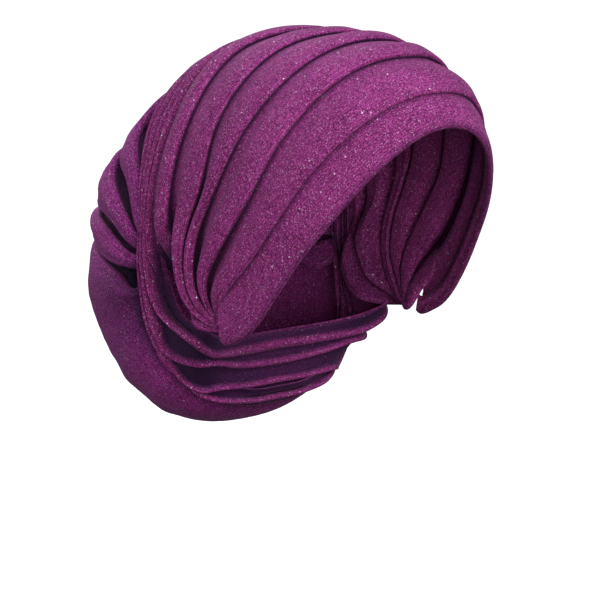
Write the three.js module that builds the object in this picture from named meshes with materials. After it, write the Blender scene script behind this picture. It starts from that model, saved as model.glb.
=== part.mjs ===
// Pre-tied pleated head tie in glitter knit: a fitted front band with a rounded tab over each ear, a crown of
// pleats that fan from a gather behind each ear over the top of the head, a bundle of narrow gathered strands
// that runs round the back of the head and under the nape, and a slouchy bag behind it.
// Millimetres. +Z is up, the wearer faces -Y, the wearer's left is +X. The origin is midway between the ears.
import * as THREE from 'three';

const DEG = Math.PI / 180;

// ---- driving sizes ----
const TOP = 132.0;            // crown of the cap over the ear line
const BOTTOM = -105.8;        // lowest cloth of the bag under the ear line
const WIDEST = 45;            // how far behind the ears the form is widest
const HALF_WIDTH = 81.5;
const FRONT_REACH = 136.2;    // from the widest section to the forehead
const BACK_REACH = 153;       // from the widest section to the back of the bag
const PLAN_FRONT = 2.34, PLAN_BACK = 2.6;       // how square the plan outline is, 2 is an ellipse
const RISE_WIDTH = 2.43, RISE_FRONT = 3.41, RISE_BACK = 1.54;   // how square the form is upward
const SAG_WIDTH = 2.52, SAG_BACK = 2.09;        // and downward
const CLOTH = 2.0;            // wall of the gathered double knit
const GAP = 0.7;              // between pieces
const GATHER = new THREE.Vector3(0, 24, -36);   // axis of the two gathers behind the ears, seen from the side
const BAG_AXIS = new THREE.Vector3(0, 92, 0);   // axis that the folds of the bag fan from

// Fold lines of the cap. theta is the angle from the middle of the head toward the gather at the ear, and each
// number is the angle of the fold round the gather axis, 0 forward, 90 up and 180 backward.
const CAP_THETA = [0, 15, 30, 45, 60, 72, 82, 90];
const CAP_FOLDS = [
  { name: 'pleat_1', phi: [55.5, 56, 56.6, 56.3, 59, 70.5, 94, 100] },
  { name: 'pleat_2', phi: [65.5, 67.5, 69.9, 73, 85.5, 106, 122, 126] },
  { name: 'pleat_3', phi: [75, 77.5, 83, 92, 111, 127, 137, 140] },
  { name: 'pleat_4', phi: [84.5, 88.5, 94.5, 101, 125, 145, 156, 160] },
  { name: 'pleat_5', phi: [94, 99.5, 107, 121, 141, 159, 170, 174] },
  { name: 'bundle', phi: [102, 107, 115, 135, 168, 184, 189, 190] },
];
// Edges of the front band, from the middle of the forehead to the rear corners of the tab.
const BAND = [
  { at: 'forehead', hemTheta: 0, hemPhi: 49, topTheta: 0, topPhi: 55.5 },
  { at: 'temple_front', hemTheta: 15, hemPhi: 47, topTheta: 15, topPhi: 56 },
  { at: 'temple', hemTheta: 30, hemPhi: 43, topTheta: 30, topPhi: 56.6 },
  { at: 'temple_rear', hemTheta: 45, hemPhi: 37.5, topTheta: 45, topPhi: 56.3 },
  { at: 'ear_front', hemTheta: 60, hemPhi: 26, topTheta: 58, topPhi: 58.3 },
  { at: 'ear', hemTheta: 72, hemPhi: 8, topTheta: 67, topPhi: 64.6 },
  { at: 'tab', hemTheta: 80.3, hemPhi: -14, topTheta: 72.5, topPhi: 71.2 },
  { at: 'tab_end', hemTheta: 86.3, hemPhi: -62, topTheta: 76.2, topPhi: 79.5 },
];
// The bundle, from the crown down the right side and round to the nape. Its upper edge follows the last fold of the
// crown (upTheta) as far as the gather and then crosses the neck opening (up). Its lower edge follows the front
// (bagFront) and the nape edge (bagNape) of the bag, and passes the bag's own gather in between (low).
const BUNDLE = [
  { at: 'crown', upTheta: 0, bagFront: 0 },
  { at: 'crown_side', upTheta: 14, bagFront: 19 },
  { at: 'upper', upTheta: 27, bagFront: 38 },
  { at: 'side_high', upTheta: 37, bagFront: 55 },
  { at: 'side', upTheta: 45, bagFront: 70 },
  { at: 'side_low', upTheta: 51.5, low: [-80.8, 95, 0] },
  { at: 'turn_high', upTheta: 60, low: [-79.8, 87, -27] },
  { at: 'turn', upTheta: 70, bagNape: 57 },
  { at: 'gather', up: [-73, 43, -41.5], bagNape: 45 },
  { at: 'under', up: [-62, 46, -46], bagNape: 34 },
  { at: 'nape_side', up: [-47, 53, -49.5], bagNape: 24 },
  { at: 'nape_half', up: [-24, 62, -52], bagNape: 12 },
  { at: 'nape', up: [0, 65, -52.5], bagNape: 0 },
];
const STRANDS = 4;
// Folds of the bag: angle round the bag axis, 0 up and 90 backward, for each fold and theta, and the depth of
// the groove in front of each fold.
const BAG_THETA = [0, 20, 40, 55, 70, 90];
const BAG_FOLDS = [
  { name: 'bag_front', phi: [9, 9, 9.5, 9, 8, 8], groove: 0, puff: 2 },
  { name: 'fold_upper', phi: [33, 35, 37, 31, 20, 18], groove: 9, puff: 4.5 },
  { name: 'fold_middle', phi: [57, 60, 64.5, 65, 64, 66], groove: 8, puff: 4 },
  { name: 'fold_lower', phi: [74, 77, 84, 94, 108, 125], groove: 9, puff: 6 },
  { name: 'bag_nape', phi: [198, 198, 197, 194, 188, 186], groove: 0, puff: 0 },
];
// How far the bag hangs out of the main form below its back, in the middle.
const BAG_UNDER = [
  { phi: 80, push: 0 }, { phi: 100, push: 2 }, { phi: 120, push: 6 }, { phi: 140, push: 12 }, { phi: 155, push: 15 },
  { phi: 168, push: 13 }, { phi: 180, push: 5 }, { phi: 190, push: -7 }, { phi: 198, push: -18 },
];

// ---- small helpers ----
// A smooth curve through a row of numbers, or through points.
function through(xs, ys) {
  const n = xs.length;
  const slope = ys.map((_, i) => {
    const a = Math.max(0, i - 1), b = Math.min(n - 1, i + 1);
    return (ys[b] - ys[a]) / (xs[b] - xs[a]);
  });
  return (x) => {
    let i = 0;
    while (i < n - 2 && x > xs[i + 1]) i += 1;
    const w = xs[i + 1] - xs[i], t = Math.min(1, Math.max(0, (x - xs[i]) / w));
    const t2 = t * t, t3 = t2 * t;
    return (2 * t3 - 3 * t2 + 1) * ys[i] + (t3 - 2 * t2 + t) * w * slope[i]
      + (3 * t2 - 2 * t3) * ys[i + 1] + (t3 - t2) * w * slope[i + 1];
  };
}
// The same, for a row that is mirrored about its first station.
const throughEven = (xs, ys) => {
  const f = through([-xs[1], ...xs], [ys[1], ...ys]);
  return (x) => f(Math.abs(x));
};
const step = (a, b, x) => { const t = Math.min(1, Math.max(0, (x - a) / (b - a))); return t * t * (3 - 2 * t); };
const level = (z, up, down) => {
  const m = z > 0 ? up : down, u = Math.abs(z / (z > 0 ? TOP : BOTTOM)) ** m;
  return u < 1 ? (1 - u) ** (1 / m) : 1e-4;
};

// The main form: a stack of rounded plan outlines. Under 1 is inside.
function form(x, y, z) {
  if (z > TOP || z < BOTTOM) return 50;
  const d = y - WIDEST, w = HALF_WIDTH * level(z, RISE_WIDTH, SAG_WIDTH);
  const l = d < 0 ? FRONT_REACH * level(z, RISE_FRONT, SAG_WIDTH) : BACK_REACH * level(z, RISE_BACK, SAG_BACK);
  const n = d < 0 ? PLAN_FRONT : PLAN_BACK;
  return Math.min(50, (Math.abs(x) / w) ** n + (Math.abs(d) / l) ** n);
}
function reach(from, dir) {
  let lo = 0, hi = 260;
  for (let i = 0; i < 34; i += 1) {
    const mid = (lo + hi) / 2;
    if (form(from.x + dir.x * mid, from.y + dir.y * mid, from.z + dir.z * mid) < 1) lo = mid; else hi = mid;
  }
  return (lo + hi) / 2;
}
// Outward direction of the main form, softened near its top.
function outward(p, middle) {
  const e = 1.5, f = (a, b, c) => Math.sqrt(form(a, b, c));
  const g = new THREE.Vector3(f(p.x + e, p.y, p.z) - f(p.x - e, p.y, p.z), f(p.x, p.y + e, p.z) - f(p.x, p.y - e, p.z),
    0);
  const r = p.clone().sub(middle).normalize();
  g.z = Math.abs(g.length()) * r.z / Math.max(0.25, Math.hypot(r.x, r.y));
  return g.lengthSq() > 1e-12 ? g.normalize().lerp(r, 0.5).normalize() : r;
}
const capDir = (phi, theta) => new THREE.Vector3(-Math.sin(theta * DEG), -Math.cos(theta * DEG) * Math.cos(phi * DEG),
  Math.cos(theta * DEG) * Math.sin(phi * DEG));
const bagDir = (phi, theta) => new THREE.Vector3(-Math.sin(theta * DEG), Math.cos(theta * DEG) * Math.sin(phi * DEG),
  Math.cos(theta * DEG) * Math.cos(phi * DEG));
const capPinch = (theta) => 9 * Math.exp(-(((90 - Math.abs(theta)) / 13) ** 2));
const bagPinch = (theta) => 6 * Math.exp(-(((90 - Math.abs(theta)) / 12) ** 2));
function onCap(dir, lift, pinch = 0) {
  const p = GATHER.clone().addScaledVector(dir, reach(GATHER, dir) - pinch);
  return p.addScaledVector(outward(p, GATHER), lift);
}
// The bag hangs lowest behind the nape, and its underside rises to meet it.
const underBag = through(BAG_UNDER.map((r) => r.phi), BAG_UNDER.map((r) => r.push));
const bagTuck = (phi, theta) => (phi < BAG_UNDER[0].phi ? 0 : -underBag(phi) * Math.cos(theta * DEG) ** 2);
function onBag(phi, theta, lift) {
  const dir = bagDir(phi, theta);
  return BAG_AXIS.clone().addScaledVector(dir, reach(BAG_AXIS, dir) - bagPinch(theta) - bagTuck(phi, theta) + lift);
}

// A closed wall from an outer and an inner grid of points, each a list of rows, joined along their four edges.
// The grids need not have the same number of points. wrap closes the rows on themselves.
function wall(outer, inner, wrap = false) {
  const pos = [], tri = [];
  const put = (grid) => grid.map((row) => row.map((p) => { pos.push(p.x, p.y, p.z); return pos.length / 3 - 1; }));
  const a = put(outer), b = put(inner);
  const skin = (g, flip) => {
    for (let i = 0; i + 1 < g.length; i += 1) {
      const n = g[i].length;
      for (let j = 0; j < (wrap ? n : n - 1); j += 1) {
        const k = (j + 1) % n, q = [g[i][j], g[i][k], g[i + 1][k], g[i + 1][j]];
        if (flip) q.reverse();
        tri.push([q[0], q[1], q[2]], [q[0], q[2], q[3]]);
      }
    }
  };
  skin(a, false); skin(b, true);
  const zip = (p, q) => {           // p on the outer edge, q on the inner edge, same direction
    let i = 0, j = 0;
    while (i < p.length - 1 || j < q.length - 1) {
      const moveP = j === q.length - 1 || (i < p.length - 1 && (i + 1) / (p.length - 1) <= (j + 1) / (q.length - 1));
      if (moveP) { tri.push([p[i + 1], p[i], q[j]]); i += 1; } else { tri.push([p[i], q[j], q[j + 1]]); j += 1; }
    }
  };
  const close = (row) => (wrap ? [...row, row[0]] : [...row]);
  zip(close(a[0]), close(b[0]));
  zip(close(a[a.length - 1]).reverse(), close(b[b.length - 1]).reverse());
  if (!wrap) {
    zip(a.map((r) => r[0]).reverse(), b.map((r) => r[0]).reverse());
    zip(a.map((r) => r[r.length - 1]), b.map((r) => r[r.length - 1]));
  }
  // Faces point out: the signed volume is positive.
  const at = (i) => new THREE.Vector3(pos[3 * i], pos[3 * i + 1], pos[3 * i + 2]);
  const volume = tri.reduce((sum, [i, j, k]) => sum + at(i).dot(at(j).cross(at(k))), 0);
  if (volume < 0) tri.forEach((t) => t.reverse());
  const geometry = new THREE.BufferGeometry();
  geometry.setAttribute('position', new THREE.Float32BufferAttribute(pos, 3));
  geometry.setIndex(tri.flat());
  geometry.computeVertexNormals();
  return geometry;
}
const spread = (n, a, b) => Array.from({ length: n }, (_, i) => a + (b - a) * i / (n - 1));
// Stations along a fold, from one ear to the other, closer together at the ears.
const along = (n, end) => spread(n, -1, 1).map((t) => end * Math.sign(t) * Math.abs(t) ** 0.86);

// ---- front band ----
const bandAt = spread(BAND.length, 0, 1);
const band = Object.fromEntries(['hemTheta', 'hemPhi', 'topTheta', 'topPhi'].map((k) => [k,
  (k.endsWith('Phi') ? throughEven : through)(bandAt, BAND.map((r) => r[k]))]));
function bandPoint(s, w, lift) {
  const t = Math.abs(s), side = s < 0 ? -1 : 1;
  const hem = capDir(band.hemPhi(t), side * band.hemTheta(t)), top = capDir(band.topPhi(t), side * band.topTheta(t));
  const width = onCap(hem, 0).distanceTo(onCap(top, 0));
  const dir = hem.clone().lerp(top, w * (1 - GAP / width)).normalize();
  return onCap(dir, lift);
}
const bandLift = (w) => 0.9 + 0.5 * Math.exp(-((w / 0.12) ** 2)) + 0.5 * Math.sin(Math.PI * w);
function frontBand() {
  const s = spread(53, -1, 1), sIn = spread(27, -1, 1);
  const outer = [0, 0.06, 0.2, 0.45, 0.75, 1].map((w) => s.map((t) => bandPoint(t, w, bandLift(w))));
  const inner = [0, 0.5, 1].map((w) => sIn.map((t) => bandPoint(t, w, bandLift(w) - CLOTH)));
  return wall(outer, inner);
}

// ---- pleated crown ----
const capPhi = CAP_FOLDS.map((f) => throughEven(CAP_THETA, f.phi));
// Height of a pleat over the form: a raised lip at its front edge, falling to its rear edge, rounder near the gather.
function pleatLift(w, theta) {
  const t = Math.abs(theta), rope = step(46, 76, t), lip = 3.5 + 0.6 * step(8, 30, t) - 1.2 * step(60, 86, t);
  const shingle = 0.9 + (lip - 0.9) * (1 - step(0.1, 1, w)) + 0.7 * Math.sin(Math.PI * w);
  const round = 0.7 + (lip - 0.2) * Math.sqrt(Math.max(0, Math.sin(Math.PI * Math.min(1, w * 1.04 + 0.02))));
  const rise = w < 0.045 ? 0.25 : 1;
  return (shingle + (round - shingle) * rope) * rise;
}
const CROWN_END = 86.5;
function crownPoint(k, w, theta, lift) {
  const last = k === CAP_FOLDS.length - 2;
  const a = capPhi[k](theta), b = capPhi[k + 1](theta) - (last ? GAP / (80 * Math.cos(theta * DEG)) / DEG : 0);
  return onCap(capDir(a + (b - a) * w, theta), lift, capPinch(theta));
}
function pleatedCrown() {
  const rows = [], rowsIn = [], th = along(45, CROWN_END), thIn = along(23, CROWN_END);
  const pleats = CAP_FOLDS.length - 1;
  for (let k = 0; k < pleats; k += 1) {
    for (const w of [0, 0.05, 0.3, 0.62, 0.94]) rows.push(th.map((t) => crownPoint(k, w, t, pleatLift(w, t))));
    for (const w of [0, 0.5]) rowsIn.push(thIn.map((t) => crownPoint(k, w, t, -1.1)));
  }
  rows.push(th.map((t) => crownPoint(pleats - 1, 1, t, 0.8)));
  rowsIn.push(thIn.map((t) => crownPoint(pleats - 1, 1, t, -1.1)));
  return wall(rows, rowsIn);
}

// ---- bundle of gathered strands round the back of the head ----
const bagPhi = BAG_FOLDS.map((f) => throughEven(BAG_THETA, f.phi));
const shift = (mm, theta, r) => mm / (r * Math.max(0.12, Math.cos(theta * DEG))) / DEG;
const fold = CAP_FOLDS.length - 1, nape = BAG_FOLDS.length - 1;
const upperLine = BUNDLE.map((r) => (r.up ? new THREE.Vector3(...r.up)
  : onCap(capDir(capPhi[fold](r.upTheta) + shift(1.4, r.upTheta, 80), r.upTheta), 0, capPinch(r.upTheta) * 0.6)));
const lowerLine = BUNDLE.map((r) => {
  if (r.low) return new THREE.Vector3(...r.low);
  if (r.bagFront !== undefined) return onBag(bagPhi[0](r.bagFront) - shift(1.9, r.bagFront, 85), r.bagFront, -0.5);
  return onBag(bagPhi[nape](r.bagNape) + shift(2.2, r.bagNape, 85), r.bagNape, -0.5);
});
// A smooth line through the points, which carries on to its mirror image at both ends.
function halfLine(points) {
  const flip = (p) => new THREE.Vector3(-p.x, p.y, p.z), n = points.length;
  const all = [flip(points[1]), ...points, flip(points[n - 2])];
  const xyz = ['x', 'y', 'z'].map((k) => through(all.map((_, i) => i - 1), all.map((p) => p[k])));
  return (t) => new THREE.Vector3(...xyz.map((f) => f((n - 1) * t)));
}
const upper = halfLine(upperLine), lower = halfLine(lowerLine);
// u runs once round the loop: 0 at the crown, 0.5 at the nape.
function bundleBase(u, w) {
  const right = u <= 0.5, t = right ? u * 2 : 2 - u * 2;
  const a = upper(t), b = lower(t), p = a.clone().lerp(b, w), wide = a.distanceTo(b);
  const bulge = 4 * w * (1 - w) * wide * wide / (8 * 120);
  const out = p.clone().sub(new THREE.Vector3(0, 55, 10)).normalize();
  p.addScaledVector(out, bulge);
  if (!right) p.x = -p.x;
  return p;
}
function bundlePoint(u, w, lift) {
  const e = 0.002, f = (a) => (a + 1) % 1;
  const p = bundleBase(u, w);
  const du = bundleBase(f(u + e), w).sub(bundleBase(f(u - e), w));
  const dw = bundleBase(u, Math.min(1, w + 0.02)).sub(bundleBase(u, Math.max(0, w - 0.02)));
  return p.addScaledVector(dw.cross(du).normalize(), lift);
}
function strandLift(u, w) {
  const t = u <= 0.5 ? u * 2 : 2 - u * 2;
  const deep = 1.6 + 2.2 * step(0.25, 0.5, t);
  const x = w * STRANDS - Math.floor(Math.min(w * STRANDS, STRANDS - 1e-6));
  return 0.9 + deep * Math.sqrt(Math.max(0, 1 - (2 * x - 1) ** 2));
}
function gatheredBundle() {
  const n = 72, us = Array.from({ length: n }, (_, i) => i / n), uIn = Array.from({ length: n / 2 }, (_, i) => i * 2 / n);
  const w = [];
  for (let k = 0; k < STRANDS; k += 1) for (const x of [0, 0.2, 0.5, 0.8]) w.push((k + x) / STRANDS);
  w.push(1);
  const outer = w.map((v) => us.map((u) => bundlePoint(u, v, strandLift(u, v))));
  const inner = [0, 0.5, 1].map((v) => uIn.map((u) => bundlePoint(u, v, -1.1)));
  return wall(outer, inner, true);
}

// ---- slouch bag ----
function bagLift(k, w, theta) {
  const a = BAG_FOLDS[k], b = BAG_FOLDS[k + 1], t = Math.abs(theta), calm = 1 - 0.55 * step(60, 88, t);
  const wide = k === BAG_FOLDS.length - 2 ? 0.16 : 0.3;
  const start = a.groove * (1 - step(0, wide, w)), stop = b.groove * step(1 - 0.22, 1, w);
  return (a.puff * Math.sin(Math.PI * Math.min(1, w * 1.02)) ** 0.6 - start * 0.6 - stop * 0.6) * calm;
}
function slouchBag() {
  const th = along(37, 87), thIn = along(19, 87), rows = [], rowsIn = [];
  const put = (k, w, last) => {
    const line = (t) => bagPhi[k](t) + (bagPhi[k + 1](t) - bagPhi[k](t)) * w;
    rows.push(th.map((t) => onBag(line(t), t, bagLift(k, w, t))));
    if (last) rowsIn.push(thIn.map((t) => onBag(line(t), t, bagLift(k, w, t) - CLOTH)));
  };
  for (let k = 0; k + 1 < BAG_FOLDS.length; k += 1) {
    const wide = k === BAG_FOLDS.length - 2;
    const ws = wide ? [0, 0.03, 0.08, 0.16, 0.28, 0.4, 0.52, 0.64, 0.74, 0.83, 0.9, 0.95] : [0, 0.1, 0.28, 0.5, 0.72, 0.9];
    ws.forEach((w, i) => put(k, w, wide ? i % 2 === 0 : i % 2 === 0));
  }
  put(BAG_FOLDS.length - 2, 1, true);
  return wall(rows, rowsIn);
}

// ---- assembly ----
const group = new THREE.Group();
function add(name, geometry, color) {
  const mesh = new THREE.Mesh(geometry, new THREE.MeshStandardMaterial({ color, roughness: 0.72, metalness: 0.05 }));
  mesh.name = name;
  group.add(mesh);
}
add('front_band', frontBand(), 0x7c2b68);
add('pleated_crown', pleatedCrown(), 0x702660);
add('gathered_bundle', gatheredBundle(), 0x652257);
add('slouch_bag', slouchBag(), 0x561d52);

export default group;
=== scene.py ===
import math
import bpy
import numpy as np
from mathutils import Matrix, Vector


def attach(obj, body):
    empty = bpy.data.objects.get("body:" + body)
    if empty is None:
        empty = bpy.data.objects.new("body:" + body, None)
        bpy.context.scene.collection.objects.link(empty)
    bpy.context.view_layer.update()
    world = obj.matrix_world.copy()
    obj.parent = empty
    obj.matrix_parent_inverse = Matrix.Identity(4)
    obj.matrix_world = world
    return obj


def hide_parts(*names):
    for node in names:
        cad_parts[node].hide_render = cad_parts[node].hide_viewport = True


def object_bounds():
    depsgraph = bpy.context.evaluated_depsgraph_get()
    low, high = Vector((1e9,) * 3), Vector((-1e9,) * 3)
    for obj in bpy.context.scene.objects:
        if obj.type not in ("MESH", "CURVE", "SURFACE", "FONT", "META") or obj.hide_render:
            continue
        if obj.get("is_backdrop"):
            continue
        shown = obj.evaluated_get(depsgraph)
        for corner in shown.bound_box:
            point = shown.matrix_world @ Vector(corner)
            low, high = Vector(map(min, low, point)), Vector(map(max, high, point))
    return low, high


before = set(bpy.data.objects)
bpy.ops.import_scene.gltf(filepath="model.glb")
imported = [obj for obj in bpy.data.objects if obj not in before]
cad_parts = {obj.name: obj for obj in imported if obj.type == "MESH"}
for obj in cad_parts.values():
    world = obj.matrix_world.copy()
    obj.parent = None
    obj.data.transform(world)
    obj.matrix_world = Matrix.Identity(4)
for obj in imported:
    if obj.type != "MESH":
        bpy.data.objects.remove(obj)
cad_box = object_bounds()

# Pre-tied pleated head tie in glitter knit. The sizes and tables are those of the part's source, in millimetres,
# and every mesh is written in metres in the row frame: +Z up, the wearer faces -Y, the wearer's left is +X.
scene = bpy.context.scene
MM = 0.001
rng = np.random.default_rng(7)

# ------------------------------------------------------------------ camera
AZ, EL, DIST, SCALE = math.radians(-41.0), math.radians(10.0), 1200.0, 1.71
EAR_X, EAR_Y = 349.0, 263.0            # where the middle of the ear line falls in the 600 x 600 frame
back = Vector((math.sin(AZ) * math.cos(EL), -math.cos(AZ) * math.cos(EL), math.sin(EL)))
right = Vector((math.cos(AZ), math.sin(AZ), 0))
up = back.cross(right)
target = right * ((300 - EAR_X) / SCALE) + up * ((EAR_Y - 300) / SCALE)
cam = bpy.data.objects.new("camera", bpy.data.cameras.new("camera"))
cam.data.lens, cam.data.sensor_width = SCALE * DIST * 36 / 600, 36
cam.data.clip_start, cam.data.clip_end = 0.05, 50
m = Matrix((right, up, back)).transposed().to_4x4()
m.translation = (target + back * DIST) * MM
cam.matrix_world = m
scene.collection.objects.link(cam)
scene.camera = cam

# ------------------------------------------------------------------ the form, as in the part's source
TOP, BOTTOM, WIDEST, HALF_WIDTH, FRONT_REACH, BACK_REACH = 132.0, -105.8, 45.0, 81.5, 136.2, 153.0
PLAN_FRONT, PLAN_BACK, RISE_WIDTH, RISE_FRONT, RISE_BACK, SAG_WIDTH, SAG_BACK = 2.34, 2.6, 2.43, 3.41, 1.54, 2.52, 2.09
GATHER, BAG_AXIS = np.array((0, 24.0, -36.0)), np.array((0, 92.0, 0.0))
CAP_THETA = [0, 15, 30, 45, 60, 72, 82, 90]
CAP_FOLDS = [
    ("pleat_1", [55.5, 56, 56.6, 56.3, 59, 70.5, 94, 100]),
    ("pleat_2", [65.5, 67.5, 69.9, 73, 85.5, 106, 122, 126]),
    ("pleat_3", [75, 77.5, 83, 92, 111, 127, 137, 140]),
    ("pleat_4", [84.5, 88.5, 94.5, 101, 125, 145, 156, 160]),
    ("pleat_5", [94, 99.5, 107, 121, 141, 159, 170, 174]),
    ("bundle", [102, 107, 116, 138, 171, 185, 189, 190]),
]
# at, hem theta, hem phi, top theta, top phi
BAND = [
    ("forehead", 0, 49, 0, 55.5), ("temple_front", 15, 47, 15, 56), ("temple", 30, 43, 30, 56.6),
    ("temple_rear", 45, 37.5, 45, 56.3), ("ear_front", 60, 26, 58, 58.3), ("ear", 72, 8, 67, 64.6),
    ("tab", 80.3, -14, 72.5, 71.2), ("tab_end", 86.3, -62, 76.2, 79.5),
]
# at, theta on the last fold of the crown or a point, theta on the front edge of the bag, or on its nape edge
# with how far up the bag it laps in degrees, or a point
BUNDLE = [
    ("crown", 0, ("front", 0)), ("crown_side", 14, ("front", 19)), ("upper", 27, ("front", 38)),
    ("side_high", 37, ("front", 55)), ("side", 45, ("front", 70)), ("side_low", 51.5, (-80.9, 95, 0)),
    ("turn_high", 60, ("nape", 69, 6)), ("turn", 70, ("nape", 57, 7.5)), ("gather", (-73, 43, -41.5), ("nape", 45, 8)),
    ("under", (-62, 46, -46), ("nape", 34, 6)), ("nape_side", (-47, 53, -49.5), ("nape", 24, 4)),
    ("nape_half", (-24, 62, -52), ("nape", 12, 3)), ("nape", (0, 65, -52.5), ("nape", 0, 2.5)),
]
BAG_THETA = [0, 20, 40, 55, 70, 90]
BAG_FOLDS = [
    ("bag_front", [9, 9, 9.5, 9, 8, 8]),
    ("fold_upper", [33, 35, 37, 31, 20, 18]),
    ("fold_middle", [57, 60, 64.5, 65, 64, 66]),
    ("fold_lower", [74, 77, 84, 94, 108, 125]),
    ("bag_nape", [198, 198, 197, 194, 188, 186]),
]
BAG_UNDER = [(80, 0), (100, 2), (120, 6), (140, 12), (155, 15), (168, 13), (180, 5), (190, -7), (198, -18)]


def through(xs, ys):
    """A smooth curve through a row of numbers."""
    xs, ys = np.asarray(xs, float), np.asarray(ys, float)
    slope = np.empty_like(ys)
    slope[1:-1] = (ys[2:] - ys[:-2]) / (xs[2:] - xs[:-2])
    slope[0], slope[-1] = (ys[1] - ys[0]) / (xs[1] - xs[0]), (ys[-1] - ys[-2]) / (xs[-1] - xs[-2])

    def f(x):
        x = np.asarray(x, float)
        i = np.clip(np.searchsorted(xs, x, side="left") - 1, 0, len(xs) - 2)
        w = xs[i + 1] - xs[i]
        t = np.clip((x - xs[i]) / w, 0, 1)
        return ((2 * t**3 - 3 * t**2 + 1) * ys[i] + (t**3 - 2 * t**2 + t) * w * slope[i]
                + (3 * t**2 - 2 * t**3) * ys[i + 1] + (t**3 - t**2) * w * slope[i + 1])
    return f


def even(xs, ys):
    f = through([-xs[1], *xs], [ys[1], *ys])
    return lambda x: f(np.abs(x))


def step(a, b, x):
    t = np.clip((np.asarray(x, float) - a) / (b - a), 0, 1)
    return t * t * (3 - 2 * t)


def level(z, rise, sag):
    m_ = np.where(z > 0, rise, sag)
    u = np.abs(z / np.where(z > 0, TOP, BOTTOM)) ** m_
    return np.where(u < 1, np.clip(1 - u, 1e-12, 1) ** (1 / m_), 1e-4)


def form(p):
    x, y, z = p[..., 0], p[..., 1], p[..., 2]
    d = y - WIDEST
    w = HALF_WIDTH * level(z, RISE_WIDTH, SAG_WIDTH)
    l = np.where(d < 0, FRONT_REACH * level(z, RISE_FRONT, SAG_WIDTH), BACK_REACH * level(z, RISE_BACK, SAG_BACK))
    n = np.where(d < 0, PLAN_FRONT, PLAN_BACK)
    v = (np.abs(x) / w) ** n + (np.abs(d) / l) ** n
    return np.where((z > TOP) | (z < BOTTOM), 50.0, np.minimum(v, 50.0))


def reach(origin, d):
    lo, hi = np.zeros(d.shape[:-1]), np.full(d.shape[:-1], 260.0)
    for _ in range(26):
        mid = (lo + hi) / 2
        inside = form(origin + d * mid[..., None]) < 1
        lo, hi = np.where(inside, mid, lo), np.where(inside, hi, mid)
    return (lo + hi) / 2


def cap_dir(phi, theta):
    a, b = np.radians(phi), np.radians(theta)
    return np.stack([-np.sin(b) + 0 * a, -np.cos(b) * np.cos(a), np.cos(b) * np.sin(a)], -1)


def bag_dir(phi, theta):
    a, b = np.radians(phi), np.radians(theta)
    return np.stack([-np.sin(b) + 0 * a, np.cos(b) * np.sin(a), np.cos(b) * np.cos(a)], -1)


cap_pinch = lambda th: 9 * np.exp(-(((90 - np.abs(th)) / 13) ** 2))
bag_pinch = lambda th: 6 * np.exp(-(((90 - np.abs(th)) / 12) ** 2))
under_bag = through([r[0] for r in BAG_UNDER], [r[1] for r in BAG_UNDER])
cap_phi = [even(CAP_THETA, f[1]) for f in CAP_FOLDS]
bag_phi = [even(BAG_THETA, f[1]) for f in BAG_FOLDS]
unit = lambda v: v / np.maximum(np.linalg.norm(v, axis=-1, keepdims=True), 1e-9)


def on_cap(d, pinch=0.0):
    return GATHER + d * (reach(GATHER, d) - pinch)[..., None]


def on_bag(phi, theta):
    d = bag_dir(phi, theta)
    push = np.where(phi < BAG_UNDER[0][0], 0, under_bag(np.clip(phi, BAG_UNDER[0][0], 198))) * np.cos(np.radians(theta)) ** 2
    return BAG_AXIS + d * (reach(BAG_AXIS, d) - bag_pinch(theta) + push)[..., None]


def shift(mm, theta, r):
    return np.degrees(mm / (r * np.maximum(0.12, np.cos(np.radians(theta)))))


def waves(u, v, pairs, seed):
    """Slow uneven waves over a surface: u and v in mm, pairs of wavelengths along u and v with a height."""
    g = np.random.default_rng(seed)
    out = 0.0
    for lu, lv, h in pairs:
        for _ in range(3):
            a, b, c = g.uniform(0.75, 1.3, 2).tolist() + [g.uniform(0, 6.283)]
            out = out + h / 3 * np.sin(2 * np.pi * (u / (lu * a) + v / (lv * b)) + c + 1.3 * np.sin(2 * np.pi * v / (lv * 2.1) + c))
    return out


def grid_normals(p, wrap=False):
    """Outward normals of a grid of points [row, column]; wrap closes the columns."""
    if wrap:
        dv = np.roll(p, -1, 1) - np.roll(p, 1, 1)
    else:
        dv = np.gradient(p, axis=1)
    du = np.gradient(p, axis=0)
    return unit(np.cross(du, dv))


def smooth_rows(n, times=2, wrap=False):
    for _ in range(times):
        if wrap:
            n = np.roll(n, 1, 1) + 2 * n + np.roll(n, -1, 1)
        else:
            q = np.pad(n, ((0, 0), (1, 1), (0, 0)), mode="edge")
            n = q[:, :-2] + 2 * q[:, 1:-1] + q[:, 2:]
        q = np.pad(n, ((1, 1), (0, 0), (0, 0)), mode="edge")
        n = unit(q[:-2] + 2 * q[1:-1] + q[2:])
    return n


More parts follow.
